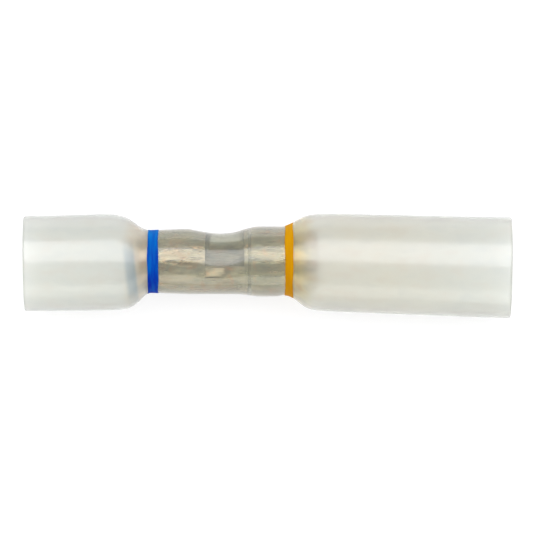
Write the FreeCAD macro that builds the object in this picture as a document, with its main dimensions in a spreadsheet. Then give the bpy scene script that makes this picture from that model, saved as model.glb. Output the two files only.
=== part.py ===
import FreeCAD, Part
import math
import os
import Sketcher

# Heat shrink butt connector: a stepped crimp barrel that joins a thinner wire to a thicker
# one, inside one translucent sleeve. The sleeve is shrunk onto the barrel in the middle and
# keeps its full width at both ends. A blue ring marks the thin end, a yellow ring the thick end.
# Millimetres. +X runs along the barrel from the blue end to the yellow end, +Z is up, and the
# origin is on the surface below the middle of the connector, which lies on its two wide ends.

doc = FreeCAD.newDocument("butt_connector")

# Driving dimensions
SIZES = [
    ("overall_length", 42.0, "from mouth to mouth"),
    ("axis_side", 0.42, "how far the barrel lies beside the middle of the wide ends"),
    ("barrel_start", -11.23, "blue end face of the barrel, from the middle of the sleeve"),
    ("blue_barrel_length", 9.5, "thin part of the barrel, up to its step"),
    ("yellow_barrel_length", 5.72, "thick part of the barrel, from its step"),
    ("blue_barrel_diameter", 4.56, "outside of the thin part"),
    ("yellow_barrel_diameter", 5.2, "outside of the thick part"),
    ("barrel_step_length", 0.3, "length of the slope between both outsides"),
    ("blue_bore_diameter", 2.4, "wire bore of the thin part"),
    ("yellow_bore_diameter", 3.5, "wire bore of the thick part"),
    ("yellow_bore_depth", 5.2, "depth of the thick wire bore; a cone under the stop joins both bores"),
    ("bore_lead_in", 0.25, "chamfer at the mouth of each bore"),
    ("barrel_edge_chamfer", 0.1, "broken outer end edges of the barrel"),
    ("stop_gap", 0.21, "between the wire stop and the barrel's step"),
    ("stop_width", 3.44, "wire stop along the barrel"),
    ("stop_span", 132.0, "arc of wall that is pressed in, degrees"),
    ("stop_facing", 52.0, "direction of the stop, degrees from +Z towards +Y"),
    ("stop_floor", 0.35, "lowest point of the pressed strip above the barrel's axis"),
    ("stop_thickness", 0.8, "thickness of the pressed strip"),
    ("seat_clearance", 0.01, "between the barrel and the sleeve"),
    ("neck_wall", 0.43, "sleeve where it is shrunk onto the barrel"),
    ("neck_swell", 0.12, "extra wall of the sleeve beside the stop"),
    ("tube_wall", 0.34, "sleeve at its wide ends"),
    ("tube_height_ratio", 0.9, "height of a wide end for each mm of its width"),
    ("blue_mouth_width", 8.2, "outer width at the blue mouth"),
    ("blue_tube_width", 8.36, "outer width where the blue shoulder begins"),
    ("blue_crest_side", -0.06, "middle of the wide end beside the barrel's axis, at its shoulder"),
    ("blue_shoulder_length", 2.95, "blue shoulder along the axis"),
    ("blue_shoulder_start", 0.88, "start of the blue shoulder, inwards from the barrel's end"),
    ("blue_foot_squeeze", 0.02, "how much thinner the sleeve is shrunk at the blue shoulder's foot"),
    ("blue_shoulder_sag", 0.3, "how far the blue shoulder is off centre half way up"),
    ("blue_lean", 1.1, "lean of the blue wide end, degrees towards -Y"),
    ("yellow_mouth_width", 8.74, "outer width at the yellow mouth"),
    ("yellow_tube_width", 8.46, "outer width where the yellow shoulder begins"),
    ("yellow_crest_side", -0.09, "middle of the wide end beside the barrel's axis, at its shoulder"),
    ("yellow_shoulder_length", 3.59, "yellow shoulder along the axis"),
    ("yellow_shoulder_start", 2.84, "start of the yellow shoulder, inwards from the barrel's end"),
    ("yellow_foot_squeeze", 0.08, "how much thinner the sleeve is shrunk at the yellow shoulder's foot"),
    ("flare_run_in", 0.5, "from the end of the even yellow neck to the flare under the yellow ring"),
    ("flare_length", 0.8, "straight flare at the foot of the yellow shoulder"),
    ("flare_rise", 0.25, "rise of the flare"),
    ("flare_side", 0.14, "middle of the flare's wide side beside the barrel's axis"),
    ("yellow_lean", 1.75, "lean of the yellow wide end, degrees towards -Y"),
    ("mouth_slant", 0.7, "slant of both cuts, degrees"),
    ("rim_chamfer", 0.1, "broken outer edges of both mouths"),
    ("saddle_depth", 0.47, "dip of the sleeve over the wire stop"),
    ("saddle_run_in", 1.6, "from the end of the even blue neck to the wire stop"),
    ("step_run_out", 0.85, "from the barrel's step to the start of the even yellow neck"),
    ("band_thickness", 0.04, "ink of the marking rings"),
    ("blue_band_start", 0.91, "from the blue end face of the barrel to the blue ring"),
    ("blue_band_width", 0.93, "blue ring along the axis"),
    ("yellow_band_start", 2.08, "from the yellow end face of the barrel to the yellow ring"),
    ("yellow_band_width", 0.7, "yellow ring along the axis"),
]

# Places closer than this count as the same.
TOUCH = 1e-6

sheet = doc.addObject("Spreadsheet::Sheet", "sizes")
for row, (alias, value, meaning) in enumerate(SIZES, start=1):
    sheet.set(f"A{row}", alias)
    sheet.set(f"B{row}", str(value))
    sheet.set(f"C{row}", meaning)
    sheet.setAlias(f"B{row}", alias)
doc.recompute()
size = {alias: float(sheet.get(alias)) for alias, _, _ in SIZES}


def bind(thing, **expressions):
    """Tie properties of an object to the sheet; a double underscore stands for a dot."""
    for name, expression in expressions.items():
        thing.setExpression(name.replace("__", "."), expression)


def origin_plane(body, role):
    """The body's own origin plane with that role, such as XZ_Plane."""
    return next(plane for plane in body.Origin.OriginFeatures if plane.Role == role)


def new_sketch(body, role, name):
    """An empty sketch on one of the body's origin planes."""
    sketch = body.newObject("Sketcher::SketchObject", name)
    sketch.AttachmentSupport = [(origin_plane(body, role), "")]
    sketch.MapMode = "FlatFace"
    return sketch


# Heights of the lying connector: each wide end rests on the surface, and the barrel's axis is
# half way between the middles of both ends.
blue_tube_middle = size["blue_tube_width"] / 2 * size["tube_height_ratio"]
yellow_tube_middle = size["yellow_tube_width"] / 2 * size["tube_height_ratio"]
axis_height = (blue_tube_middle + yellow_tube_middle) / 2
AXIS_HEIGHT = "(sizes.blue_tube_width + sizes.yellow_tube_width) / 4 * sizes.tube_height_ratio"

# Places along the barrel, from its blue end face
barrel_length = size["blue_barrel_length"] + size["barrel_step_length"] + size["yellow_barrel_length"]
BARREL_LENGTH = "(sizes.blue_barrel_length + sizes.barrel_step_length + sizes.yellow_barrel_length)"
stop_start = size["blue_barrel_length"] - size["stop_gap"] - size["stop_width"]
STOP_START = "(sizes.blue_barrel_length - sizes.stop_gap - sizes.stop_width)"

# The punch that presses the wire stop in: a cylinder across the facing side of the barrel,
# which meets the outside at both ends of the span and goes down to the floor of the stop.
STOP_RADIUS = "(sizes.blue_barrel_diameter / 2)"
STOP_DROP = f"({STOP_RADIUS} * cos(sizes.stop_span / 2) - sizes.stop_floor)"
PUNCH_RADIUS = f"(({STOP_RADIUS} * sin(sizes.stop_span / 2)) ^ 2 + {STOP_DROP} ^ 2) / (2 * {STOP_DROP})"
PUNCH_DISTANCE = f"(sizes.stop_floor + {PUNCH_RADIUS})"
half_span = math.radians(size["stop_span"] / 2)
stop_drop = size["blue_barrel_diameter"] / 2 * math.cos(half_span) - size["stop_floor"]
half_chord = size["blue_barrel_diameter"] / 2 * math.sin(half_span)
HALF_CHORD = f"{STOP_RADIUS} * sin(sizes.stop_span / 2)"
# The pressed strip runs into the wall on both sides, this share of the way to the outside.
STRIP_REACH = 0.93
punch_radius = (half_chord ** 2 + stop_drop ** 2) / (2 * stop_drop)
punch_distance = size["stop_floor"] + punch_radius


# Crimp barrel: one drawn copper tube, revolved from its half section. The body's origin is the
# centre of the blue end face.
def barrel_section(sketch):
    """Closed half section of the stepped tube, x along the axis and y outwards from it."""
    blue_outer = "sizes.blue_barrel_diameter / 2"
    yellow_outer = "sizes.yellow_barrel_diameter / 2"
    blue_bore = "sizes.blue_bore_diameter / 2"
    yellow_bore = "sizes.yellow_bore_diameter / 2"
    yellow_end = BARREL_LENGTH
    corners = [
        ("0", f"{blue_bore} + sizes.bore_lead_in"),
        ("0", blue_outer),
        ("sizes.blue_barrel_length", blue_outer),
        ("sizes.blue_barrel_length + sizes.barrel_step_length", yellow_outer),
        (yellow_end, yellow_outer),
        (yellow_end, f"{yellow_bore} + sizes.bore_lead_in"),
        (f"{yellow_end} - sizes.bore_lead_in", yellow_bore),
        (f"{yellow_end} - sizes.yellow_bore_depth", yellow_bore),
        (STOP_START, blue_bore),
        ("sizes.bore_lead_in", blue_bore),
    ]
    # A rough drawing in the right order; the constraints below give it its sizes.
    rough = [(0, 2), (0, 3), (9, 3), (10, 4), (15, 4), (15, 3), (14, 2), (11, 2), (6, 1), (1, 1)]
    count = len(corners)
    for index in range(count):
        start = FreeCAD.Vector(*rough[index], 0)
        end = FreeCAD.Vector(*rough[(index + 1) % count], 0)
        sketch.addGeometry(Part.LineSegment(start, end))
    for index in range(count):
        sketch.addConstraint(Sketcher.Constraint("Coincident", index, 2, (index + 1) % count, 1))
    for index, (along, outwards) in enumerate(corners):
        if along == "0":
            sketch.addConstraint(Sketcher.Constraint("PointOnObject", index, 1, -2))
        else:
            across = sketch.addConstraint(Sketcher.Constraint("DistanceX", -1, 1, index, 1, rough[index][0]))
            sketch.setExpression(f"Constraints[{across}]", along)
        up = sketch.addConstraint(Sketcher.Constraint("DistanceY", -1, 1, index, 1, rough[index][1]))
        sketch.setExpression(f"Constraints[{up}]", outwards)


def face_the_stop(sketch):
    """Stand the sketch at the stop's near end, its y axis towards the side that is pressed in."""
    turn = FreeCAD.Rotation(FreeCAD.Vector(0, 0, 1), -size["stop_facing"])
    sketch.AttachmentOffset = FreeCAD.Placement(FreeCAD.Vector(0, 0, stop_start), turn)
    bind(sketch, AttachmentOffset__Base__z=STOP_START,
         AttachmentOffset__Rotation__Angle="-sizes.stop_facing")


def on_axis_circle_centre(sketch, geometry, distance):
    """Keep a circle's or an arc's centre on the sketch's y axis, at the punch's distance."""
    sketch.addConstraint(Sketcher.Constraint("PointOnObject", geometry, 3, -2))
    centre = sketch.addConstraint(Sketcher.Constraint("DistanceY", -1, 1, geometry, 3, distance))
    sketch.setExpression(f"Constraints[{centre}]", PUNCH_DISTANCE)


def punch_circle(sketch):
    """The punch's round end, which takes the wall of the stop away."""
    normal = FreeCAD.Vector(0, 0, 1)
    sketch.addGeometry(Part.Circle(FreeCAD.Vector(0, punch_distance, 0), normal, punch_radius))
    on_axis_circle_centre(sketch, 0, punch_distance)
    radius = sketch.addConstraint(Sketcher.Constraint("Radius", 0, punch_radius))
    sketch.setExpression(f"Constraints[{radius}]", PUNCH_RADIUS)


def strip_section(sketch):
    """The pressed strip: two arcs about the punch's centre, closed inside the tube's wall."""
    centre = FreeCAD.Vector(0, punch_distance, 0)
    half_width = STRIP_REACH * half_chord
    radii = [punch_radius, punch_radius + size["stop_thickness"]]
    radius_expressions = [PUNCH_RADIUS, f"{PUNCH_RADIUS} + sizes.stop_thickness"]
    for index, radius in enumerate(radii):
        half_turn = math.asin(half_width / radius)
        circle = Part.Circle(centre, FreeCAD.Vector(0, 0, 1), radius)
        down = -math.pi / 2
        sketch.addGeometry(Part.ArcOfCircle(circle, down - half_turn, down + half_turn))
        on_axis_circle_centre(sketch, index, punch_distance)
        size_of_arc = sketch.addConstraint(Sketcher.Constraint("Radius", index, radius))
        sketch.setExpression(f"Constraints[{size_of_arc}]", radius_expressions[index])
        sketch.addConstraint(Sketcher.Constraint("Symmetric", index, 1, index, 2, -2))
        width = sketch.addConstraint(Sketcher.Constraint("DistanceX", index, 1, index, 2, 2 * half_width))
        sketch.setExpression(f"Constraints[{width}]", f"2 * {STRIP_REACH} * {HALF_CHORD}")
    for side in (1, 2):
        near = sketch.getPoint(0, side)
        far = sketch.getPoint(1, side)
        line = sketch.addGeometry(Part.LineSegment(near, far))
        sketch.addConstraint(Sketcher.Constraint("Coincident", line, 1, 0, side))
        sketch.addConstraint(Sketcher.Constraint("Coincident", line, 2, 1, side))


def end_edges(solid):
    """Names of the outer round edges of the barrel's two end faces."""
    names = []
    for end in (0.0, barrel_length):
        at_the_end = [(index, edge) for index, edge in enumerate(solid.Edges, start=1)
                      if abs(edge.BoundBox.XMin - end) < TOUCH and edge.BoundBox.XLength < TOUCH]
        outer = max(at_the_end, key=lambda entry: entry[1].Length)
        names.append(f"Edge{outer[0]}")
    return names


def crimp_barrel():
    body = doc.addObject("PartDesign::Body", "crimp_barrel")
    body.Label = "crimp_barrel"
    section = new_sketch(body, "XZ_Plane", "barrel_section")
    barrel_section(section)
    tube = body.newObject("PartDesign::Revolution", "barrel_tube")
    tube.Profile = section
    tube.ReferenceAxis = (section, ["H_Axis"])
    tube.Angle = 360
    doc.recompute()

    punched = new_sketch(body, "YZ_Plane", "punch_circle")
    face_the_stop(punched)
    punch_circle(punched)
    window = body.newObject("PartDesign::Pocket", "stop_window")
    window.Profile = punched
    window.Reversed = True
    bind(window, Length="sizes.stop_width")
    doc.recompute()

    pressed = new_sketch(body, "YZ_Plane", "strip_section")
    face_the_stop(pressed)
    strip_section(pressed)
    strip = body.newObject("PartDesign::Pad", "stop_strip")
    strip.Profile = pressed
    bind(strip, Length="sizes.stop_width")
    doc.recompute()

    edges = body.newObject("PartDesign::Chamfer", "barrel_edges")
    edges.Base = (strip, end_edges(strip.Shape))
    bind(edges, Size="sizes.barrel_edge_chamfer")
    bind(body, Placement__Base__x="sizes.barrel_start", Placement__Base__y="sizes.axis_side",
         Placement__Base__z=AXIS_HEIGHT)
    return body


barrel = crimp_barrel()
doc.recompute()


# Sleeve: one tube whose sections are drawn along the axis as control rings. A ring has a place
# along the axis, an outer half width and half height, a centre, a wall, and a share of the
# saddle over the wire stop. Strips of surface join them: straight along the wide ends and along
# both even stretches of the neck, and a cubic spline over the shoulders and the wire stop. The
# ring next to a straight strip lies in line with it, so that the surface runs on smoothly.
POLES_AROUND = 12
POLE_REACH = 3 / (2 + math.cos(2 * math.pi / POLES_AROUND))
SADDLE_FLAT = 45.0
SADDLE_EDGE = 95.0
# Shares of a shoulder's length, rise and sag, from its foot on the neck towards its crest
BLUE_SHOULDER = [(0.15, 0.2, 0.9), (0.35, 0.6, 0.75), (0.58, 0.89, 0.3)]
YELLOW_SHOULDER = [(0.22, 0.66, 0.0), (0.5, 0.93, 0.0)]
# Shares of the stop's width and of the saddle's dip, from the thin wire's side
SADDLE = [(-0.03, 0.7), (0.38, 1.1), (0.77, 0.75), (0.97, 0.0)]
# The straight stretch of a wide end stops at this share of its length, counted from the shoulder.
STRAIGHT_END = 0.05
# How far a ring lies past the end of the straight neck that it is in line with
RUN_ON = 0.15
# The neck's lumen is drawn this much narrower than the barrel, whose own form then opens it.
LUMEN_UNDERSIZE = 0.15
# Faces that meet closer than this are sewn together.
SEW_GAP = 1e-4

barrel_end = size["barrel_start"] + barrel_length
blue_barrel_radius = size["blue_barrel_diameter"] / 2
yellow_barrel_radius = size["yellow_barrel_diameter"] / 2
blue_neck = blue_barrel_radius + size["seat_clearance"] + size["neck_wall"]
yellow_neck = yellow_barrel_radius + size["seat_clearance"] + size["neck_wall"]
blue_foot = size["barrel_start"] + size["blue_shoulder_start"]
yellow_foot = barrel_end - size["yellow_shoulder_start"]
step_place = size["barrel_start"] + size["blue_barrel_length"]
stop_place = size["barrel_start"] + stop_start


def tube_ring(along, width, drift, slant=0.0):
    """A ring of a wide end: an oval that rests on the surface."""
    half_height = width / 2 * size["tube_height_ratio"]
    return {"x": along, "half_width": width / 2, "half_height": half_height,
            "y": size["axis_side"] + drift, "z": half_height,
            "wall": size["tube_wall"], "slant": slant, "saddle": 0.0}


def neck_ring(along, outer, barrel_radius, saddle=0.0):
    """A round ring on the barrel."""
    return {"x": along, "half_width": outer, "half_height": outer,
            "y": size["axis_side"], "z": axis_height,
            "wall": outer - (barrel_radius - LUMEN_UNDERSIZE), "slant": 0.0, "saddle": saddle}


def shoulder_rings(foot, crest, shares, sag):
    """Rings between the shoulder's foot on the neck and its crest."""
    rings = []
    for run, rise, sag_share in shares:
        ring = {key: foot[key] + (crest[key] - foot[key]) * rise for key in foot}
        ring["x"] = foot["x"] + (crest["x"] - foot["x"]) * run
        ring["y"] -= sag * sag_share
        rings.append(ring)
    return rings


def drift_at(lean, distance):
    """Sideways place of a leaning wide end, that far out from its shoulder."""
    return -math.tan(math.radians(lean)) * distance


def run_on(far, near):
    """A ring just past the near end of a straight stretch, in line with it."""
    share = RUN_ON / abs(near["x"] - far["x"])
    return {key: near[key] + (near[key] - far[key]) * share for key in near}


def wide_end(side, half):
    """Mouth, end of the straight stretch and crest of one wide end; half is -1 or 1."""
    mouth_place = half * size["overall_length"] / 2
    crest_place = (blue_foot if half < 0 else yellow_foot) + half * size[f"{side}_shoulder_length"]
    length = mouth_place - crest_place
    widening = size[f"{side}_mouth_width"] - size[f"{side}_tube_width"]
    rings = []
    for share in (1.0, STRAIGHT_END, 0.0):
        drift = size[f"{side}_crest_side"] + drift_at(size[f"{side}_lean"], abs(length) * share)
        slant = half * math.tan(math.radians(size["mouth_slant"])) if share == 1.0 else 0.0
        rings.append(tube_ring(crest_place + length * share,
                               size[f"{side}_tube_width"] + widening * share, drift, slant))
    return rings


def sleeve_strips():
    """Strips of the outer form from mouth to mouth, each as its degree and its control rings."""
    stop_end = stop_place + size["stop_width"]
    blue_mouth, blue_straight, blue_crest = wide_end("blue", -1)
    yellow_mouth, yellow_straight, yellow_crest = wide_end("yellow", 1)
    neck_a = neck_ring(blue_foot, blue_neck - size["blue_foot_squeeze"], blue_barrel_radius)
    neck_b = neck_ring(stop_place - size["saddle_run_in"], blue_neck + size["neck_swell"],
                       blue_barrel_radius)
    neck_c = neck_ring(step_place + size["step_run_out"], yellow_neck, yellow_barrel_radius)
    neck_d = neck_ring(yellow_foot - size["flare_run_in"], yellow_neck, yellow_barrel_radius)
    flare_a = neck_ring(yellow_foot, yellow_neck - size["yellow_foot_squeeze"], yellow_barrel_radius)
    flare_b = neck_ring(yellow_foot + size["flare_length"], flare_a["half_width"] + size["flare_rise"],
                        yellow_barrel_radius)
    flare_a["y"] += size["flare_side"] / 2
    flare_b["y"] += size["flare_side"]
    flare_b["wall"] = size["neck_wall"]
    blue_rise = shoulder_rings(neck_a, blue_crest, BLUE_SHOULDER, size["blue_shoulder_sag"])
    blue_shoulder = [neck_a, run_on(neck_b, neck_a)] + blue_rise + [blue_crest, blue_straight]
    over_stop = [neck_b, run_on(neck_a, neck_b)]
    for share, dip in SADDLE:
        over_stop.append(neck_ring(stop_place + share * size["stop_width"],
                                   blue_neck + size["neck_swell"], blue_barrel_radius, dip))
    over_stop += [run_on(neck_d, neck_c), neck_c]
    into_flare = [neck_d, run_on(neck_c, neck_d), run_on(flare_b, flare_a), flare_a]
    yellow_rise = shoulder_rings(flare_b, yellow_crest, YELLOW_SHOULDER, 0.0)
    yellow_shoulder = [flare_b, run_on(flare_a, flare_b)] + yellow_rise
    yellow_shoulder += [yellow_crest, yellow_straight]
    return [
        (1, [blue_mouth, blue_straight]),
        (3, blue_shoulder[::-1]),
        (1, [neck_a, neck_b]),
        (3, over_stop),
        (1, [neck_c, neck_d]),
        (3, into_flare),
        (1, [flare_a, flare_b]),
        (3, yellow_shoulder),
        (1, [yellow_straight, yellow_mouth]),
    ]


def saddle_share(angle):
    """How much of the saddle's dip a direction takes; 1 across the stop, 0 on the far side."""
    off = abs((angle - (90 - size["stop_facing"]) + 180) % 360 - 180)
    rest = min(max((SADDLE_EDGE - off) / (SADDLE_EDGE - SADDLE_FLAT), 0.0), 1.0)
    return rest * rest * (3 - 2 * rest)


def ring_poles(ring, inset):
    """Control points of one ring, as far inside its outline as the inset says."""
    poles = []
    for index in range(POLES_AROUND):
        angle = 360 * index / POLES_AROUND
        dip = size["saddle_depth"] * ring["saddle"] * saddle_share(angle)
        turn = math.radians(angle)
        across = (ring["half_width"] - inset - dip) * POLE_REACH * math.cos(turn)
        up = (ring["half_height"] - inset - dip) * POLE_REACH * math.sin(turn)
        along = ring["x"] + ring["slant"] * across
        poles.append(FreeCAD.Vector(along, ring["y"] + across, ring["z"] + up))
    return poles


def side_face(degree, rings, inset_of):
    """A closed strip of surface along some rings: straight for degree 1, a spline for degree 3."""
    poles = [ring_poles(ring, inset_of(ring)) for ring in rings]
    spans = len(rings) - degree
    ends = [degree + 1] + [1] * (spans - 1) + [degree + 1]
    surface = Part.BSplineSurface()
    surface.buildFromPolesMultsKnots(
        poles, ends, [1] * (POLES_AROUND + 1),
        list(range(spans + 1)), list(range(POLES_AROUND + 1)), False, True, degree, 3)
    return surface.toShape()


def capped_solid(sides):
    """A closed solid from strips of surface that follow each other from mouth to mouth."""
    mouths = []
    for side, half in ((sides[0], -1), (sides[-1], 1)):
        rims = [edge for edge in side.Edges if edge.isClosed()]
        rim = max(rims, key=lambda edge: half * edge.CenterOfMass.x)
        mouths.append(Part.Face(Part.Wire(rim)))
    shell = Part.makeShell([side.reversed() for side in sides] + mouths)
    shell.sewShape()
    solid = Part.Solid(shell)
    solid.fix(SEW_GAP, SEW_GAP, SEW_GAP)
    return solid


def outer_solid(skin=0.0):
    """The sleeve's outer form, or that form with a skin's thickness more."""
    return capped_solid([
        side_face(degree, rings, lambda ring: -skin) for degree, rings in sleeve_strips()])


def passed_rings(degree, rings):
    """Where the strip's own surface passes its rings, without the strip's last one."""
    if degree == 1:
        return rings[:1]
    inner = [{key: (before[key] + 4 * ring[key] + after[key]) / 6 for key in ring}
             for before, ring, after in zip(rings[1:], rings[2:-1], rings[3:])]
    return rings[:1] + inner


def lumen_solid():
    """The sleeve's hollow: short cones between the places where the outer form passes its rings."""
    strips = sleeve_strips()
    passed = [ring for degree, rings in strips for ring in passed_rings(degree, rings)]
    passed.append(strips[-1][1][-1])
    return capped_solid([
        side_face(1, pair, lambda ring: ring["wall"]) for pair in zip(passed, passed[1:])])


def shape_feature(name, shape):
    feature = doc.addObject("Part::Feature", name)
    feature.Shape = shape
    return feature


def barrel_seat():
    """The barrel's outer form with the seat's clearance, which the sleeve is shrunk onto."""
    thin = doc.addObject("Part::Cylinder", "thin_seat")
    bind(thin, Radius="sizes.blue_barrel_diameter / 2 + sizes.seat_clearance",
         Height="sizes.blue_barrel_length + sizes.barrel_step_length / 2")
    slope = doc.addObject("Part::Cone", "slope_seat")
    bind(slope, Radius1="sizes.blue_barrel_diameter / 2 + sizes.seat_clearance",
         Radius2="sizes.yellow_barrel_diameter / 2 + sizes.seat_clearance",
         Height="sizes.barrel_step_length")
    thick = doc.addObject("Part::Cylinder", "thick_seat")
    bind(thick, Radius="sizes.yellow_barrel_diameter / 2 + sizes.seat_clearance",
         Height="sizes.yellow_barrel_length")
    punch = doc.addObject("Part::Cylinder", "punch_seat")
    bind(punch, Radius=f"{PUNCH_RADIUS} - sizes.seat_clearance",
         Height="sizes.stop_width - 2 * sizes.seat_clearance")
    along_x = FreeCAD.Rotation(FreeCAD.Vector(0, 1, 0), 90)
    starts = {
        thin: "sizes.barrel_start",
        slope: "sizes.barrel_start + sizes.blue_barrel_length",
        thick: "sizes.barrel_start + sizes.blue_barrel_length + sizes.barrel_step_length",
        punch: f"sizes.barrel_start + {STOP_START} + sizes.seat_clearance",
    }
    for piece, start in starts.items():
        piece.Placement = FreeCAD.Placement(FreeCAD.Vector(0, 0, 0), along_x)
        bind(piece, Placement__Base__x=start, Placement__Base__y="sizes.axis_side",
             Placement__Base__z=AXIS_HEIGHT)
    bind(punch, Placement__Base__y=f"sizes.axis_side + {PUNCH_DISTANCE} * sin(sizes.stop_facing)",
         Placement__Base__z=f"{AXIS_HEIGHT} + {PUNCH_DISTANCE} * cos(sizes.stop_facing)")
    whole = doc.addObject("Part::MultiFuse", "barrel_outside")
    whole.Shapes = [thin, slope, thick]
    seat = doc.addObject("Part::Cut", "barrel_seat")
    seat.Base = whole
    seat.Tool = punch
    return seat


def rim_edges(shape):
    """Chamfer entries for the outer round edge of each mouth."""
    entries = []
    for half in (-1, 1):
        closed = [(index, edge) for index, edge in enumerate(shape.Edges, start=1)
                  if edge.isClosed()]
        farthest = max(half * edge.CenterOfMass.x for _, edge in closed)
        at_the_mouth = [entry for entry in closed
                        if farthest - half * entry[1].CenterOfMass.x < size["tube_wall"]]
        outer = max(at_the_mouth, key=lambda entry: entry[1].Length)
        entries.append((outer[0], size["rim_chamfer"], size["rim_chamfer"]))
    return entries


def heat_shrink_sleeve():
    outside = shape_feature("sleeve_outside", outer_solid())
    lumen = shape_feature("sleeve_lumen", lumen_solid())
    open_tube = doc.addObject("Part::Cut", "open_tube")
    open_tube.Base = outside
    open_tube.Tool = lumen
    fitted = doc.addObject("Part::Cut", "fitted_sleeve")
    fitted.Base = open_tube
    fitted.Tool = barrel_seat()
    doc.recompute()
    sleeve = doc.addObject("Part::Chamfer", "heat_shrink_sleeve")
    sleeve.Label = "heat_shrink_sleeve"
    sleeve.Base = fitted
    sleeve.Edges = rim_edges(fitted.Shape)
    return sleeve


def marking_band(name, start, width):
    """A printed ring: a thin skin of ink that lies on the sleeve between two planes."""
    inked = shape_feature(f"{name}_ink", outer_solid(size["band_thickness"]))
    bare = shape_feature(f"{name}_bare", outer_solid())
    skin = doc.addObject("Part::Cut", f"{name}_skin")
    skin.Base = inked
    skin.Tool = bare
    slice_box = doc.addObject("Part::Box", f"{name}_slice")
    reach = "sizes.yellow_mouth_width"
    bind(slice_box, Length=width, Width=f"2 * {reach}", Height=f"2 * {reach}",
         Placement__Base__x=start, Placement__Base__y=f"-{reach}", Placement__Base__z=f"-{reach} / 2")
    band = doc.addObject("Part::Common", name)
    band.Label = name
    band.Base = skin
    band.Tool = slice_box
    return band


sleeve = heat_shrink_sleeve()
blue_band = marking_band("blue_band", "sizes.barrel_start + sizes.blue_band_start", "sizes.blue_band_width")
yellow_band = marking_band(
    "yellow_band",
    f"sizes.barrel_start + {BARREL_LENGTH} - sizes.yellow_band_start - sizes.yellow_band_width",
    "sizes.yellow_band_width")
doc.recompute()


def check_and_export(nodes):
    """Stop on any failed object or bad solid, and only then write the files."""
    for thing in doc.Objects:
        if "Invalid" in thing.State or "Error" in thing.State:
            raise RuntimeError(f"{thing.Name} failed: {thing.State}")
    for node in nodes:
        shape = node.Shape
        if shape.isNull() or not shape.isValid() or len(shape.Solids) != 1:
            raise RuntimeError(f"{node.Label} is not one valid solid")
    os.makedirs("parts", exist_ok=True)
    for node in nodes:
        node.Shape.exportStep(f"parts/{node.Label}.step")
        box = node.Shape.BoundBox
        print(f"{node.Label}: {node.Shape.Volume:.2f} mm3, "
              f"x {box.XMin:.2f} to {box.XMax:.2f}, y {box.YMin:.2f} to {box.YMax:.2f}, "
              f"z {box.ZMin:.2f} to {box.ZMax:.2f}")


check_and_export([sleeve, barrel, blue_band, yellow_band])
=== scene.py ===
# %% [markdown]
# # A heat shrink butt connector
#
# A butt connector joins two wires end to end. This one takes a thinner wire on the left and a
# thicker one on the right. It has a tinned copper barrel with a step in it, a milky sleeve that
# is shrunk tight over the barrel and still wide at both ends, and two printed rings.
#
# What makes it look real is light: it goes into the sleeve, scatters a little in the wall, and
# comes back from the metal. So the sleeve is a real wall with a hollow in it, and not a painted
# outside. First the fixed frame is loaded, and its box is kept to compare sizes at the end. The
# frame holds one node for each physical part, and each piece of this scene stands for one node.

# %% The frame
import bmesh
import bpy
import math
from mathutils import Matrix, Vector
from mathutils.bvhtree import BVHTree


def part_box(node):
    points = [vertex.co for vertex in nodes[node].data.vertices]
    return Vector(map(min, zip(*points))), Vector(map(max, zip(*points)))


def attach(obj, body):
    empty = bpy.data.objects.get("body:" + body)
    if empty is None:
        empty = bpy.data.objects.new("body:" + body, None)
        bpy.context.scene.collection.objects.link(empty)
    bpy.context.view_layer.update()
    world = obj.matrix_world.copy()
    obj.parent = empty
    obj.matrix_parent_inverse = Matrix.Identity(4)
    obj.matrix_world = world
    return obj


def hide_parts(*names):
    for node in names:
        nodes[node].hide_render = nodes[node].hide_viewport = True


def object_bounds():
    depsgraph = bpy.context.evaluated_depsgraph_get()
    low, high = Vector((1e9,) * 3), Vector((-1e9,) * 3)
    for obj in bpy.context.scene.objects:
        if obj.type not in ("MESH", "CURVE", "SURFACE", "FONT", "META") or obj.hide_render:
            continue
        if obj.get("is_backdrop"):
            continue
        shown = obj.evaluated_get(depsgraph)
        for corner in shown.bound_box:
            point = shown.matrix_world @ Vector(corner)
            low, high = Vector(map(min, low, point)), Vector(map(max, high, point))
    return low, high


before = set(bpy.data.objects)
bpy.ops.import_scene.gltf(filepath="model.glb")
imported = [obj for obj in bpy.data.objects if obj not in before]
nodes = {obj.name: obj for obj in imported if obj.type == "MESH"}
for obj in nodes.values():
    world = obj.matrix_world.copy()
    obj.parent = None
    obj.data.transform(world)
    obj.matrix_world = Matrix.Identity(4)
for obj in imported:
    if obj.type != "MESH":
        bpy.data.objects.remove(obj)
cad_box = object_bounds()
MM = 0.001
for name in sorted(nodes):
    low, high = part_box(name)
    print(name, "length in mm", round((high.x - low.x) / MM, 2))

# %% [markdown]
# ## The camera
#
# The photo looks straight down on the connector, from far away, because both ends show their
# outline and nothing of their hollow. A long lens keeps it that way. The field of view follows
# from how many pixels the connector fills, and a small shift of the camera puts it at the
# photo's place. All pieces share the barrel's axis, so its place across is measured here too.

# %% The camera
IMAGE_PX = 533
CONNECTOR_PX = 488
MIDDLE_PX = (267.5, 261.4)
CAMERA_DISTANCE = 0.5
NEAREST_SEEN = 0.01
SENSOR = 36.0

barrel_low, barrel_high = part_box("crimp_barrel")
axis_y = (barrel_low.y + barrel_high.y) / 2
axis_z = (barrel_low.z + barrel_high.z) / 2
sleeve_low, sleeve_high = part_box("heat_shrink_sleeve")
metres_per_px = (sleeve_high.x - sleeve_low.x) / CONNECTOR_PX

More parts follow.
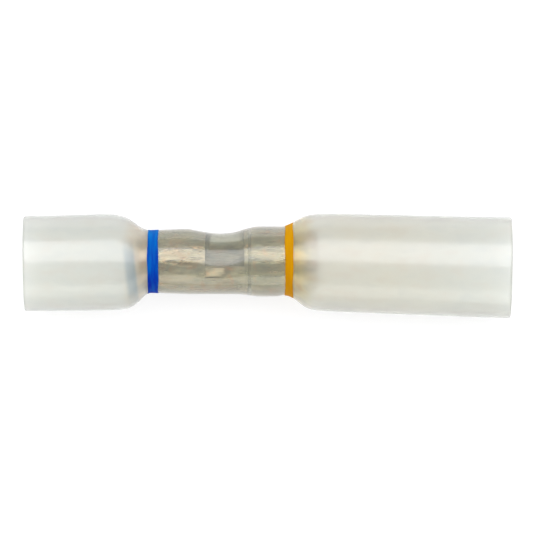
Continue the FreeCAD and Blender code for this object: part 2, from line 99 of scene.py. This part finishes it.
camera_data = bpy.data.cameras.new("camera")
camera_data.sensor_width = SENSOR
camera_data.lens = SENSOR * CAMERA_DISTANCE / (metres_per_px * IMAGE_PX)
camera_data.clip_start = NEAREST_SEEN
camera = bpy.data.objects.new("camera", camera_data)
camera.location = (
    (IMAGE_PX / 2 - MIDDLE_PX[0]) * metres_per_px,
    axis_y - (IMAGE_PX / 2 - MIDDLE_PX[1]) * metres_per_px,
    axis_z + CAMERA_DISTANCE)
bpy.context.scene.collection.objects.link(camera)
bpy.context.scene.camera = camera
print("lens in mm", round(camera_data.lens, 1))

# %% [markdown]
# ## Helpers for pieces and materials
#
# Every piece is made the same way: a bmesh is shaped, written to a mesh, given a material, and
# told which body of the frame it rides on. The object itself stays at the origin, so its place
# is in its mesh, and a pattern on Object coordinates stays put when the piece moves.
#
# A material starts as one shader with plain numbers set on its sockets. Patterns come from
# noise textures, from the place along the connector and from the place across it. `between`
# stretches such a pattern, `ramp` turns it into colours, `product` and `mix` put patterns
# together, `bump` raises the surface and `absorb` gives the inside a tint.

# %% Helpers for pieces
def finish_piece(name, shape, material, node):
    """Write the bmesh to a piece that stands for the frame's node."""
    bmesh.ops.recalc_face_normals(shape, faces=shape.faces)
    mesh = bpy.data.meshes.new(name)
    shape.to_mesh(mesh)
    shape.free()
    mesh.polygons.foreach_set("use_smooth", [True] * len(mesh.polygons))
    mesh.materials.append(material)
    piece = bpy.data.objects.new(name, mesh)
    bpy.context.scene.collection.objects.link(piece)
    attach(piece, "root")
    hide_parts(node)
    return piece


def subdivide(piece, levels):
    """Round the piece with a Subdivision Surface."""
    modifier = piece.modifiers.new("rounding", "SUBSURF")
    modifier.levels = levels
    modifier.render_levels = levels


# %% Helpers for materials
class Finish:
    """One material and the few kinds of node that this lesson needs."""

    def __init__(self, name, **sockets):
        self.material = bpy.data.materials.new(name)
        self.material.use_nodes = True
        self.tree = self.material.node_tree
        self.shader = self.tree.nodes["Principled BSDF"]
        self.place = self.tree.nodes.new("ShaderNodeTexCoord").outputs["Object"]
        for socket, value in sockets.items():
            self.shader.inputs[socket.replace("_", " ")].default_value = value

    def link(self, source, target):
        self.tree.links.new(source, target)

    def set_socket(self, socket, source):
        self.link(source, self.shader.inputs[socket])

    def stretched(self, scale):
        """Object coordinates in millimetres, stretched by a scale along each axis."""
        mapping = self.tree.nodes.new("ShaderNodeMapping")
        shift = (0, -axis_y * scale[1] / MM, -axis_z * scale[2] / MM)
        mapping.inputs["Location"].default_value = shift
        mapping.inputs["Scale"].default_value = [factor / MM for factor in scale]
        self.link(self.place, mapping.inputs["Vector"])
        return mapping.outputs["Vector"]

    def noise(self, scale, detail=3.0, roughness=0.5):
        """Noise whose blots are about 1 mm across for a scale of 1."""
        texture = self.tree.nodes.new("ShaderNodeTexNoise")
        texture.inputs["Scale"].default_value = 1.0
        texture.inputs["Detail"].default_value = detail
        texture.inputs["Roughness"].default_value = roughness
        self.link(self.stretched(scale), texture.inputs["Vector"])
        return texture.outputs["Fac"]

    def along(self, lean=0.0):
        """How far along the connector a point lies, in millimetres, on lines that may lean."""
        dot = self.tree.nodes.new("ShaderNodeVectorMath")
        dot.operation = "DOT_PRODUCT"
        dot.inputs[1].default_value = (1, lean, 0)
        self.link(self.stretched((1, 1, 1)), dot.inputs[0])
        return dot.outputs["Value"]

    def across(self):
        """How far to the far side a point lies, in millimetres."""
        split = self.tree.nodes.new("ShaderNodeSeparateXYZ")
        self.link(self.stretched((1, 1, 1)), split.inputs["Vector"])
        return split.outputs["Y"]

    def product(self, first, second):
        """Two patterns multiplied."""
        node = self.tree.nodes.new("ShaderNodeMath")
        node.operation = "MULTIPLY"
        self.link(first, node.inputs[0])
        self.link(second, node.inputs[1])
        return node.outputs["Value"]

    def ramp(self, value, stops):
        """A smooth path through colours or greys; stops are pairs of place and colour."""
        node = self.tree.nodes.new("ShaderNodeValToRGB")
        node.color_ramp.interpolation = "EASE"
        elements = node.color_ramp.elements
        while len(elements) < len(stops):
            elements.new(0.5)
        for element, (place, colour) in zip(elements, stops):
            element.position = place
            if isinstance(colour, (int, float)):
                colour = (colour, colour, colour)
            element.color = (*colour, 1.0)
        self.link(value, node.inputs["Fac"])
        return node.outputs["Color"]

    def between(self, value, low, high, to_low=0.0, to_high=1.0):
        """Carry a value's stretch from low to high over to another stretch."""
        node = self.tree.nodes.new("ShaderNodeMapRange")
        for socket, number in (("From Min", low), ("From Max", high),
                               ("To Min", to_low), ("To Max", to_high)):
            node.inputs[socket].default_value = number
        self.link(value, node.inputs["Value"])
        return node.outputs["Result"]

    def mix(self, share, first, second, blend="MIX"):
        """Mix two colours, each a colour or another node's output."""
        node = self.tree.nodes.new("ShaderNodeMix")
        node.data_type = "RGBA"
        node.blend_type = blend
        for socket, value in ((node.inputs["Factor"], share), (node.inputs[6], first),
                              (node.inputs[7], second)):
            if isinstance(value, bpy.types.NodeSocket):
                self.link(value, socket)
            elif socket == node.inputs["Factor"]:
                socket.default_value = value
            else:
                socket.default_value = (*value, 1.0)
        return node.outputs[2]

    def bump(self, height, depth_mm, strength=1.0):
        """Raise the surface by a texture, by at most the depth."""
        node = self.tree.nodes.new("ShaderNodeBump")
        node.inputs["Strength"].default_value = strength
        node.inputs["Distance"].default_value = depth_mm * MM
        self.link(height, node.inputs["Height"])
        self.set_socket("Normal", node.outputs["Normal"])

    def absorb(self, colour, per_mm):
        """Let the inside swallow some light, so a long way through it looks darker."""
        node = self.tree.nodes.new("ShaderNodeVolumeAbsorption")
        node.inputs["Color"].default_value = (*colour, 1.0)
        node.inputs["Density"].default_value = per_mm / MM
        self.link(node.outputs["Volume"], self.tree.nodes["Material Output"].inputs["Volume"])


# %% [markdown]
# ## The sleeve
#
# The real sleeve is a tube of clear, slightly milky plastic. It was drawn over the barrel and
# shrunk there, so it has a waist with soft shoulders, and a dip over the wire stop.
#
# A tube like this could be turned from one outline, but this one isn't round all over: its wide
# ends are a little flat, both lean to one side, and the dip is on one side only. So a plain open
# cylinder is cut into rings and given a wall, and then laid onto the frame's own sleeve by
# casting rays: from outside for the outer face, and from the middle for the hollow. The rings
# stand closer where the form changes faster, and a Subdivision Surface rounds what lies between.
#
# Two things are shaped a little softer than the frame's sleeve. Outside the neck each section is
# the mean of three neighbours, and the hollow runs one wall's thickness inside the outer face, so
# no crease shows through the plastic. In the neck the plastic wets the metal: its hollow is
# tighter than the frame's by `CONTACT`, so it lies just under the metal's face. With air in
# between, light would be thrown back inside the plastic, and the sides of the neck would turn
# white.

# %% Rays onto the frame's sleeve
AROUND = 32
RAY_START = 10 * MM
NECK_START = -10.5
NECK_END = 1.9
SOFTENING = 0.4
WALL = 0.34

depsgraph = bpy.context.evaluated_depsgraph_get()
sleeve_tree = BVHTree.FromObject(nodes["heat_shrink_sleeve"], depsgraph)
axis = Vector((0, axis_y, axis_z))


def middle_at(x):
    """The middle of the sleeve's section, half way between its sides, top and bottom."""
    reach = []
    for y, z in ((1, 0), (-1, 0), (0, 1), (0, -1)):
        way = Vector((0, y, z))
        start = Vector((x, axis_y, axis_z)) + way * RAY_START
        reach.append(sleeve_tree.ray_cast(start, -way)[0])
    far, near, top, bottom = reach
    return Vector((x, (far.y + near.y) / 2, (top.z + bottom.z) / 2))


def walls_at(point):
    """The hollow's wall and the outer face of the sleeve in the point's direction."""
    middle = middle_at(point.x)
    way = (point - middle).normalized()
    inner = sleeve_tree.ray_cast(middle, way)[0]
    outer = sleeve_tree.ray_cast(middle + way * RAY_START, -way)[0]
    return middle, inner, outer


def soft_walls_at(point):
    """The same, but outside the neck smoothed, with the hollow a wall's thickness inside."""
    if NECK_START < point.x / MM < NECK_END:
        return walls_at(point)
    shifts = (-SOFTENING, 0, SOFTENING)
    found = [walls_at(point + Vector((shift * MM, 0, 0))) for shift in shifts]
    middle = sum((places[0] for places in found), Vector()) / len(found)
    outer = sum((places[2] for places in found), Vector()) / len(found)
    radii = [(places[2] - places[0]).length / MM for places in found]
    steepness = (radii[2] - radii[0]) / (2 * SOFTENING)
    inwards = (middle - outer).normalized()
    return middle, outer + inwards * WALL * MM * math.hypot(1, steepness), outer


thick_end = Vector((sleeve_high.x / 2, axis_y, sleeve_high.z))
middle, inner, outer = soft_walls_at(thick_end)
print("wall of the thick end, in mm", round((outer - inner).length / MM, 2))


# %% [markdown]
# Now the rings. `STRETCHES` says up to which place, and how far apart, they stand along the
# connector. Two rings close to each mouth hold its corner, so that rounding leaves a small radius
# there, as a cut soft tube has. The section of these rings is read `MOUTH_RINGS` inside the mouth,
# where rays still hit the wall. The cut of a mouth is slightly slanted, so there the end of each
# line of points is found by a ray along the connector. Rounding pulls a ring of points inwards, and
# `RING_REACH` makes up for that.

# %% Places of the rings
STRETCHES = [(-18.6, 1.2), (-14.2, 0.8), (5.2, 0.4), (8.0, 0.8), (18.6, 2.0)]
CORNER = 0.3
SECOND_RING = 2.5 * CORNER
MOUTH_RINGS = 3.5 * CORNER * MM


def ring_places():
    """Places of the rings along the connector, in millimetres, without both mouths."""
    left, right = sleeve_low.x / MM, sleeve_high.x / MM
    places = [left + CORNER, left + SECOND_RING]
    for end, step in STRETCHES:
        while places[-1] + step < end:
            places.append(places[-1] + step)
    return places + [right - SECOND_RING, right - CORNER]


print("sleeve rings", len(ring_places()))

# %% Lay the rings on the frame's sleeve
RING_REACH = 3 / (2 + math.cos(2 * math.pi / AROUND))
CONTACT = 0.06
CYLINDER_RADIUS = 5 * MM


def lay_on_sleeve(vertex, in_hollow):
    """Put a point of the cylinder on the sleeve's outer face or on the wall of its hollow."""
    side = math.copysign(1, vertex.co.x)
    mouth = sleeve_high.x if side > 0 else sleeve_low.x
    inward = side * min(abs(vertex.co.x), abs(mouth) - MOUTH_RINGS)
    middle, inner, outer = soft_walls_at(Vector((inward, vertex.co.y, vertex.co.z)))
    slant = 0.0
    if abs(mouth - vertex.co.x) < MOUTH_RINGS:
        start = (inner + outer) / 2 + Vector((side * RAY_START, 0, 0))
        slant = sleeve_tree.ray_cast(start, Vector((-side, 0, 0)))[0].x - mouth
    laid = middle + ((inner if in_hollow else outer) - middle) * RING_REACH
    if in_hollow and NECK_START < vertex.co.x / MM < NECK_END:
        laid -= (laid - middle).normalized() * CONTACT * MM
    vertex.co = (vertex.co.x + slant, laid.y, laid.z)


turn = Matrix.Translation(axis) @ Matrix.Rotation(math.pi / 2, 4, "Y")
shape = bmesh.new()
bmesh.ops.create_cone(shape, cap_ends=False, segments=AROUND, radius1=CYLINDER_RADIUS,
                      radius2=CYLINDER_RADIUS, depth=sleeve_high.x - sleeve_low.x, matrix=turn)
for place in ring_places():
    everything = list(shape.verts) + list(shape.edges) + list(shape.faces)
    bmesh.ops.bisect_plane(shape, geom=everything, plane_co=(place * MM, 0, 0),
                           plane_no=(1, 0, 0))
bmesh.ops.recalc_face_normals(shape, faces=shape.faces)
bmesh.ops.solidify(shape, geom=list(shape.faces), thickness=WALL * MM)
half_wall = CYLINDER_RADIUS - WALL * MM / 2
for vertex in shape.verts:
    lay_on_sleeve(vertex, in_hollow=(vertex.co - axis).yz.length < half_wall)
print("sleeve faces", len(shape.faces))

# %% [markdown]
# The plastic is one shader. Most of the light goes through it, and the rest scatters back as
# the milky body colour. Its faces are satin, because such a tube is drawn and never polished.
# The tint is not even: it is a cold white at both ends, and warmer where the thick tube begins.
# Beside the yellow ring it is most yellow. That is painted light: the glow of the yellow ink
# carried into the plastic. In the neck, where the plastic wets the metal, it is a darker
# grey-green.
# That is painted shade: it dims the metal seen through the plastic and what the metal reflects.
# Faint clouds of a clearer plastic run through all of it.

# %% Colours along the sleeve
plastic = Finish("milky_plastic", IOR=1.5, Transmission_Weight=0.8,
                 Coat_Weight=0.8, Coat_Roughness=0.13, Coat_IOR=1.5)
COLD = (0.97, 0.985, 0.94)
WARM = (0.98, 0.97, 0.89)
# Painted light: the yellow glow that the yellow ink throws into the plastic beside the ring.
YELLOW_GLOW_PAINTED = (0.97, 0.86, 0.45)
SANDY = (0.98, 0.90, 0.74)
# Painted shade: a darker grey-green over the barrel, which dims the metal seen through the plastic.
NECK = (0.63, 0.63, 0.49)
CLEAR = (0.97, 0.975, 0.96)
HALF_LENGTH = 21
along = plastic.between(plastic.along(), -HALF_LENGTH, HALF_LENGTH)
tint = plastic.ramp(along, [(0.0, COLD), (0.2, COLD), (0.235, SANDY), (0.25, SANDY),
                            (0.265, NECK), (0.52, NECK), (0.55, YELLOW_GLOW_PAINTED), (0.6, WARM),
                            (0.7, WARM), (1.0, COLD)])
clouds = plastic.noise((0.25, 0.5, 0.5), detail=4)
tint = plastic.mix(plastic.between(clouds, 0.4, 0.7, 0.0, 0.25), tint, CLEAR)
print("nodes for the tint", len(plastic.tree.nodes))

# %% [markdown]
# Two weaker patterns lie over the tint. A rosy and bluish shimmer over the metal stands for the
# colours that the metal throws back. Just left of the blue ring, mostly on the near side, the
# shoulder turns blue-grey. That is a painted reflection of the blue ring, carried through the
# curved plastic. It leans, so it follows a coordinate that is tilted a little.

# %% Shimmer and the painted reflection of the blue ring
ROSY = (0.90, 0.74, 0.66)
BLUISH = (0.70, 0.76, 0.86)
BLUE_RING_REFLECTION = (0.50, 0.62, 0.70)
REFLECTION_START, REFLECTION_END, REFLECTION_LEAN = -14, -9, 0.1
NEAR_SIDE, FAR_SIDE = -4, 3
shimmer = plastic.noise((0.5, 0.9, 0.9), detail=2)
on_metal = plastic.ramp(along, [(0.2, 0.15), (0.25, 0.7), (0.56, 0.7), (0.62, 0.15)])
rosy = plastic.product(on_metal, plastic.between(shimmer, 0.52, 0.7))
bluish = plastic.product(on_metal, plastic.between(shimmer, 0.48, 0.3))
tint = plastic.mix(rosy, tint, ROSY, blend="MULTIPLY")
tint = plastic.mix(bluish, tint, BLUISH, blend="MULTIPLY")
# Painted reflection: the blue-grey of the blue ring, seen through the shoulder, mostly on the near
# side.
blue_ring_reflection = plastic.ramp(plastic.between(plastic.along(REFLECTION_LEAN), REFLECTION_START, REFLECTION_END),
                    [(0.3, 0.0), (0.4, 0.65), (0.49, 0.8), (0.55, 0.0)])
near_side = plastic.ramp(plastic.between(plastic.across(), NEAR_SIDE, FAR_SIDE),
                         [(0.0, 0.3), (0.25, 1.0), (0.6, 0.9), (0.9, 0.0)])
tint = plastic.mix(plastic.product(blue_ring_reflection, near_side), tint, BLUE_RING_REFLECTION)
plastic.set_socket("Base Color", tint)
print("nodes with shimmer and veil", len(plastic.tree.nodes))

# %% [markdown]
# The roughness of a see-through material is its haze. Where the plastic wets the metal it is
# clearest. From each tube to the neck the haze falls in two steps, and the second one, which is
# the sharper, hides under the print. Inside the wall a little light is absorbed, so the rims,
# where the way through the plastic is long, look darker. A very shallow bump, stretched along the
# tube, stands for the marks of drawing it.

# %% Haze, and the finished sleeve
TUBE_HAZE, SHOULDER_HAZE, NECK_HAZE = 0.34, 0.285, 0.18
haze = plastic.ramp(along, [(0.22, TUBE_HAZE), (0.25, SHOULDER_HAZE), (0.262, SHOULDER_HAZE),
                            (0.27, NECK_HAZE), (0.538, NECK_HAZE), (0.548, SHOULDER_HAZE),
                            (0.6, SHOULDER_HAZE), (0.65, TUBE_HAZE)])
plastic.set_socket("Roughness", haze)
plastic.absorb((0.79, 0.80, 0.75), per_mm=0.68)
plastic.bump(plastic.noise((0.04, 2.0, 2.0), detail=2), 0.02, strength=0.15)

sleeve = finish_piece("sleeve", shape, plastic.material, "heat_shrink_sleeve")
subdivide(sleeve, 2)
print("nodes of the sleeve's material", len(plastic.tree.nodes))

# %% [markdown]
# ## The barrel
#
# The barrel is a tinned copper tube, thick at one end and drawn thinner at the other, with a
# short slope between both. Its wall's section is drawn once and spun about the axis. All radii are
# read from the frame's barrel by rays, so the new one fills the same space.

# %% Sizes of the barrel, from the frame
barrel_tree = BVHTree.FromObject(nodes["crimp_barrel"], bpy.context.evaluated_depsgraph_get())
PROBE = 2


def barrel_radius(place, inside):
    """Radius of the barrel below its axis, at a place from its blue end in millimetres."""
    middle = Vector((barrel_low.x + place * MM, axis_y, axis_z))
    down = Vector((0, 0, -1))
    start = middle if inside else middle + down * RAY_START
    hit = barrel_tree.ray_cast(start, down if inside else -down)[0]
    return (hit - middle).length / MM


BARREL_LENGTH = (barrel_high.x - barrel_low.x) / MM
STEP_START = 9.35
STEP_LENGTH = 0.8
STOP_START = 5.85
STOP_WIDTH = 3.44
STOP_END = STOP_START + STOP_WIDTH
YELLOW_BORE_START = BARREL_LENGTH - 5.2
LEAD_IN = 0.25
EDGE = 0.1
thin = barrel_radius(PROBE, inside=False)
thick = barrel_radius(BARREL_LENGTH - PROBE, inside=False)
thin_bore = barrel_radius(PROBE, inside=True)
thick_bore = barrel_radius(BARREL_LENGTH - PROBE, inside=True)
print("barrel radii", *(round(value, 2) for value in (thin, thick, thin_bore, thick_bore)))

# %% [markdown]
# From here on, a place along the barrel is in millimetres from its blue end. The section starts
# at the rim of the blue end, runs along the outside and comes back through both bores. Between
# the bores lies a cone, under the wire stop. `facing` is where the stop's window opens: towards
# the far side and up.

# %% Spin the barrel
SPIN_STEPS = 120
STOP_FACING = math.radians(52)
facing = Vector((0, math.sin(STOP_FACING), math.cos(STOP_FACING)))
sideways = Vector((0, math.cos(STOP_FACING), -math.sin(STOP_FACING)))


def cone_bore(place):
    """Radius of the cone that joins both wire bores under the stop."""
    share = (place - STOP_START) / (YELLOW_BORE_START - STOP_START)
    return thin_bore + share * (thick_bore - thin_bore)


section = [
    (0, thin_bore + LEAD_IN), (0, thin - EDGE), (EDGE, thin), (STOP_START, thin), (STOP_END, thin),
    (STEP_START, thin), (STEP_START + STEP_LENGTH, thick), (BARREL_LENGTH - EDGE, thick),
    (BARREL_LENGTH, thick - EDGE), (BARREL_LENGTH, thick_bore + LEAD_IN),
    (BARREL_LENGTH - LEAD_IN, thick_bore), (YELLOW_BORE_START, thick_bore),
    (STOP_END, cone_bore(STOP_END)), (STOP_START, thin_bore), (LEAD_IN, thin_bore),
]
shape = bmesh.new()
corners = []
for place, radius in section:
    point = Vector((barrel_low.x + place * MM, axis_y, axis_z)) + facing * radius * MM
    corners.append(shape.verts.new(point))
for first, second in zip(corners, corners[1:] + corners[:1]):
    shape.edges.new((first, second))
bmesh.ops.spin(shape, geom=list(shape.verts) + list(shape.edges), cent=axis, axis=(1, 0, 0),
               angle=2 * math.pi, steps=SPIN_STEPS, use_merge=True)
bmesh.ops.recalc_face_normals(shape, faces=shape.faces)
print("barrel faces", len(shape.faces))

# %% [markdown]
# The wire stop is a strip of the wall. The press shears it along both ends and bends it in, and
# at its sides it stays joined. So first a window is cut through the wall, and its rims are
# bridged.

# %% Cut the window of the wire stop
WINDOW_SPAN = math.radians(126)
window = []
for face in shape.faces:
    middle = face.calc_center_median()
    off = Vector((0, middle.y - axis_y, middle.z - axis_z))
    in_length = STOP_START < (middle.x - barrel_low.x) / MM < STOP_END
    if in_length and off.angle(facing) < WINDOW_SPAN / 2:
        window.append(face)
bmesh.ops.delete(shape, geom=window, context="FACES")
bmesh.ops.bridge_loops(shape, edges=[edge for edge in shape.edges if edge.is_boundary])
print("window faces cut", len(window))

# %% [markdown]
# The strip is a small grid that is laid on the round of the punch and given the wall's thickness.
# Such a strip is never even: this one is twisted a little and has shallow dents, made of two
# crossed waves, which break its reflection up. Both fade out towards the sides, where the strip is
# joined to the wall. It is a little wider than the window, so its sides end inside the wall.

# %% Press the strip in
STOP_SPAN = math.radians(132)
STOP_FLOOR = 0.35
STOP_THICKNESS = 0.8
SHEAR_GAP = 0.015
TWIST = 0.22
DENT = 0.05
GRID_ALONG, GRID_ACROSS = 16, 32
half_chord = thin * math.sin(STOP_SPAN / 2)
drop = thin * math.cos(STOP_SPAN / 2) - STOP_FLOOR
punch_radius = (half_chord ** 2 + drop ** 2) / (2 * drop)

strip = bmesh.new()
bmesh.ops.create_grid(strip, x_segments=GRID_ALONG, y_segments=GRID_ACROSS, size=1)
for vertex in strip.verts:
    run, across = vertex.co.x, vertex.co.y
    fade = 1 - across ** 2
    twist = TWIST * half_chord * across * math.sin(run * math.pi / 2)
    dents = DENT * math.sin(2.3 * run + 1.1) * math.sin(4.1 * across - 0.6)
    rise = punch_radius - math.sqrt(punch_radius ** 2 - (half_chord * across) ** 2)
    height = STOP_FLOOR + rise + fade * (dents - twist)
    place = (STOP_START + STOP_END) / 2 + run * (STOP_WIDTH / 2 - SHEAR_GAP)
    start = Vector((barrel_low.x + place * MM, axis_y, axis_z))
    vertex.co = start + facing * height * MM + sideways * half_chord * across * MM
bmesh.ops.recalc_face_normals(strip, faces=strip.faces)
outwards = sum((face.normal for face in strip.faces), Vector()).dot(facing) > 0
if not outwards:
    bmesh.ops.reverse_faces(strip, faces=strip.faces)
bmesh.ops.solidify(strip, geom=list(strip.faces), thickness=STOP_THICKNESS * MM)
strip_mesh = bpy.data.meshes.new("strip")
strip.to_mesh(strip_mesh)
strip.free()
shape.from_mesh(strip_mesh)
print("barrel with its stop, faces", len(shape.faces))

# %% [markdown]
# Tin on a crimp barrel is dull and blotchy. The metal's own colour wanders between a warm and a
# cool grey, and here and there the copper below gives it an orange stain. The roughness and a
# fine bump are stretched along the barrel, which breaks the softbox's reflection up into streaks.
# A narrow bevel catches light along the edges of the window and of the ends.

# %% Material of the barrel
BEVEL_WIDTH = 0.03
tin = Finish("dull_tin", Metallic=1.0)
tin.shader.inputs["Specular Tint"].default_value = (0.30, 0.28, 0.22, 1.0)
blotches = tin.noise((0.5, 0.9, 0.9), detail=5, roughness=0.6)
metal = tin.mix(tin.between(blotches, 0.35, 0.65), (0.72, 0.59, 0.43), (0.47, 0.46, 0.36))
stains = tin.noise((1.4, 1.4, 1.4), detail=3)
metal = tin.mix(tin.between(stains, 0.55, 0.72, 0.0, 0.6), metal, (0.80, 0.46, 0.28))
tin.set_socket("Base Color", metal)
tin.set_socket("Roughness", tin.between(tin.noise((0.3, 2.5, 2.5)), 0.3, 0.7, 0.22, 0.38))
tin.bump(tin.noise((1.2, 2.2, 2.2), detail=3), 0.09, strength=1.0)

barrel = finish_piece("barrel", shape, tin.material, "crimp_barrel")
bevel = barrel.modifiers.new("edges", "BEVEL")
bevel.width = BEVEL_WIDTH * MM
bevel.segments = 2
bevel.limit_method = "ANGLE"
bevel.angle_limit = math.radians(30)
print("nodes of the barrel's material", len(tin.tree.nodes))

# %% [markdown]
# ## The printed rings
#
# A print wheel rolled a line of ink round the shrunk sleeve on each side. The ink is a thin skin
# with slightly uneven edges. So each ring is a short tube of its own that is laid on the finished
# sleeve, lifted by less than the thickness of a hair, and given a thickness.

# %% Lay the rings on the sleeve
INK_LIFT = 0.008
INK_THICKNESS = 0.02
INK_AROUND = 144
INK_ROWS = 6
finished = BVHTree.FromObject(sleeve, bpy.context.evaluated_depsgraph_get())


def unevenness(angle, shift):
    """A gentle wave of a print's edge, in millimetres."""
    return 0.025 * math.sin(3 * angle + shift) + 0.015 * math.sin(7 * angle + 2 * shift)


def printed_ring(node, material, seed):
    """A ring of ink on the finished sleeve, between the ends of the frame's own ring."""
    low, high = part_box(node)
    ink = bmesh.new()
    middle = Vector(((low.x + high.x) / 2, axis_y, axis_z))
    turn = Matrix.Translation(middle) @ Matrix.Rotation(math.pi / 2, 4, "Y")
    bmesh.ops.create_cone(ink, cap_ends=False, segments=INK_AROUND, radius1=CYLINDER_RADIUS,
                          radius2=CYLINDER_RADIUS, depth=high.x - low.x, matrix=turn)
    for row in range(1, INK_ROWS):
        place = low.x + (high.x - low.x) * row / INK_ROWS
        everything = list(ink.verts) + list(ink.edges) + list(ink.faces)
        bmesh.ops.bisect_plane(ink, geom=everything, plane_co=(place, 0, 0), plane_no=(1, 0, 0))
    for vertex in ink.verts:
        way = Vector((0, vertex.co.y - axis_y, vertex.co.z - axis_z)).normalized()
        angle = math.atan2(way.z, way.y)
        share = (vertex.co.x - low.x) / (high.x - low.x)
        wave = unevenness(angle, seed) * (1 - share) + unevenness(angle, seed + 2) * share
        start = Vector((vertex.co.x + wave * MM, axis_y, axis_z)) + way * RAY_START
        hit, normal = finished.ray_cast(start, -way)[:2]
        vertex.co = hit + normal * INK_LIFT * MM
    bmesh.ops.recalc_face_normals(ink, faces=ink.faces)
    bmesh.ops.solidify(ink, geom=list(ink.faces), thickness=INK_THICKNESS * MM)
    ring = finish_piece(node + "_ink", ink, material, node)
    print(node, "ink faces", len(ring.data.polygons))


# %% [markdown]
# The ink is uneven too: it is denser in some patches. It is also darker towards the near side and
# lighter towards the far side, where the softbox stands, and that part is painted shade and light.
# So each ink goes from a deep, shaded colour to a fresh, lit one. Its face is dull, with fine
# streaks round the ring, as the wheel left them.

# %% Print both rings
SHADED_SIDE, LIT_SIDE = -1.6, 2.6


def ink_finish(name, deep_and_shaded, fresh_and_lit):
    """Flat ink with a satin face: denser and thinner patches, painted shade on the near side and
    painted light on the far side, and fine streaks round the ring.
    """
    ink = Finish(name, Roughness=0.6, IOR=1.3, Specular_IOR_Level=0.1)
    patches = ink.between(ink.noise((4.0, 0.6, 0.6), detail=4), 0.35, 0.65)
    # Painted shade and light: darker towards the near side, lighter towards the far side, where the
    # softbox stands.
    lit_side_share = ink.between(ink.across(), SHADED_SIDE, LIT_SIDE)
    ink.set_socket("Base Color", ink.mix(ink.mix(0.6, patches, lit_side_share), deep_and_shaded, fresh_and_lit))
    ink.bump(ink.noise((9.0, 0.8, 0.8), detail=2), 0.01, strength=0.4)
    return ink.material


blue_ink = ink_finish("blue_ink", (0.0, 0.01, 0.30), (0.0, 0.16, 0.52))
yellow_ink = ink_finish("yellow_ink", (0.50, 0.21, 0.0), (0.60, 0.285, 0.0))
printed_ring("blue_band", blue_ink, seed=0.4)
printed_ring("yellow_band", yellow_ink, seed=1.9)

# %% [markdown]
# ## Floor and light
#
# The connector lies on a plain white sheet that is lit from below, as on a light table, which is
# how clear plastic is photographed: the light comes up through the tube and hardly a shadow is
# left. So the sheet reflects little and glows by itself.

# %% Floor
FLOOR_SIZE = 4.0
WHITE = (1.0, 1.0, 1.0, 1.0)
SHEET = (0.30, 0.30, 0.30)
PALER_SHEET = (0.31, 0.31, 0.31)
floor_mesh = bpy.data.meshes.new("floor")
floor_shape = bmesh.new()
bmesh.ops.create_grid(floor_shape, x_segments=1, y_segments=1, size=FLOOR_SIZE / 2)
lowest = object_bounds()[0][2]
bmesh.ops.translate(floor_shape, verts=floor_shape.verts, vec=(0, 0, lowest))
floor_shape.to_mesh(floor_mesh)
floor_shape.free()
floor = bpy.data.objects.new("floor", floor_mesh)
bpy.context.scene.collection.objects.link(floor)
paper = Finish("lit_white_sheet", Roughness=0.9, Specular_IOR_Level=0.1, Emission_Strength=0.78)
paper.shader.inputs["Emission Color"].default_value = WHITE
paper.set_socket("Base Color", paper.mix(paper.noise((0.02, 0.02, 0.02)), SHEET, PALER_SHEET))
floor_mesh.materials.append(paper.material)
floor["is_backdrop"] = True
print("floor at", round(lowest / MM, 3), "mm")

# %% [markdown]
# A large softbox stands above and a little to the far side, and its reflection runs as one broad
# band along the tube. A weaker one fills the near side, and the world adds an even grey. The
# energy follows from the brightness of a softbox's face, so its size changes only its reflection.

# %% Lights
LIGHT_DISTANCE = 0.7
LIGHT_LENGTH = 2.4


def softbox(name, near_angle, far_angle, brightness, colour):
    """A long softbox that fills the sky between two angles, both from the zenith towards +Y."""
    lean = math.radians((near_angle + far_angle) / 2)
    half = math.radians(abs(far_angle - near_angle) / 2)
    data = bpy.data.lights.new(name, "AREA")
    data.shape = "RECTANGLE"
    data.size = LIGHT_LENGTH
    data.size_y = 2 * LIGHT_DISTANCE * math.tan(half)
    data.energy = brightness * math.pi * data.size * data.size_y
    data.color = colour
    lamp = bpy.data.objects.new(name, data)
    lamp.location = (0, math.sin(lean) * LIGHT_DISTANCE, axis_z + math.cos(lean) * LIGHT_DISTANCE)
    lamp.rotation_euler = (-lean, 0, 0)
    bpy.context.scene.collection.objects.link(lamp)


softbox("key", 3, 50, brightness=2.4, colour=(0.97, 0.96, 1.0))
softbox("fill", -50, -85, brightness=1.35, colour=(1.0, 1.0, 0.96))
world = bpy.data.worlds.new("studio")
world.use_nodes = True
sky = world.node_tree.nodes["Background"]
sky.inputs["Color"].default_value = (0.98, 0.99, 1.0, 1.0)
sky.inputs["Strength"].default_value = 0.35
bpy.context.scene.world = world
bpy.context.scene.view_settings.view_transform = "Standard"
print("lights", len(bpy.data.lights))

# %% [markdown]
# ## Sizes at the end
#
# The dressed connector must be as large as the frame says, so both boxes are printed side by side.

# %% Compare the sizes and finish
dressed_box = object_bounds()
for word, corners in (("frame", cad_box), ("dressed", dressed_box)):
    print(word, *(round((high - low) / MM, 2) for low, high in zip(*corners)))
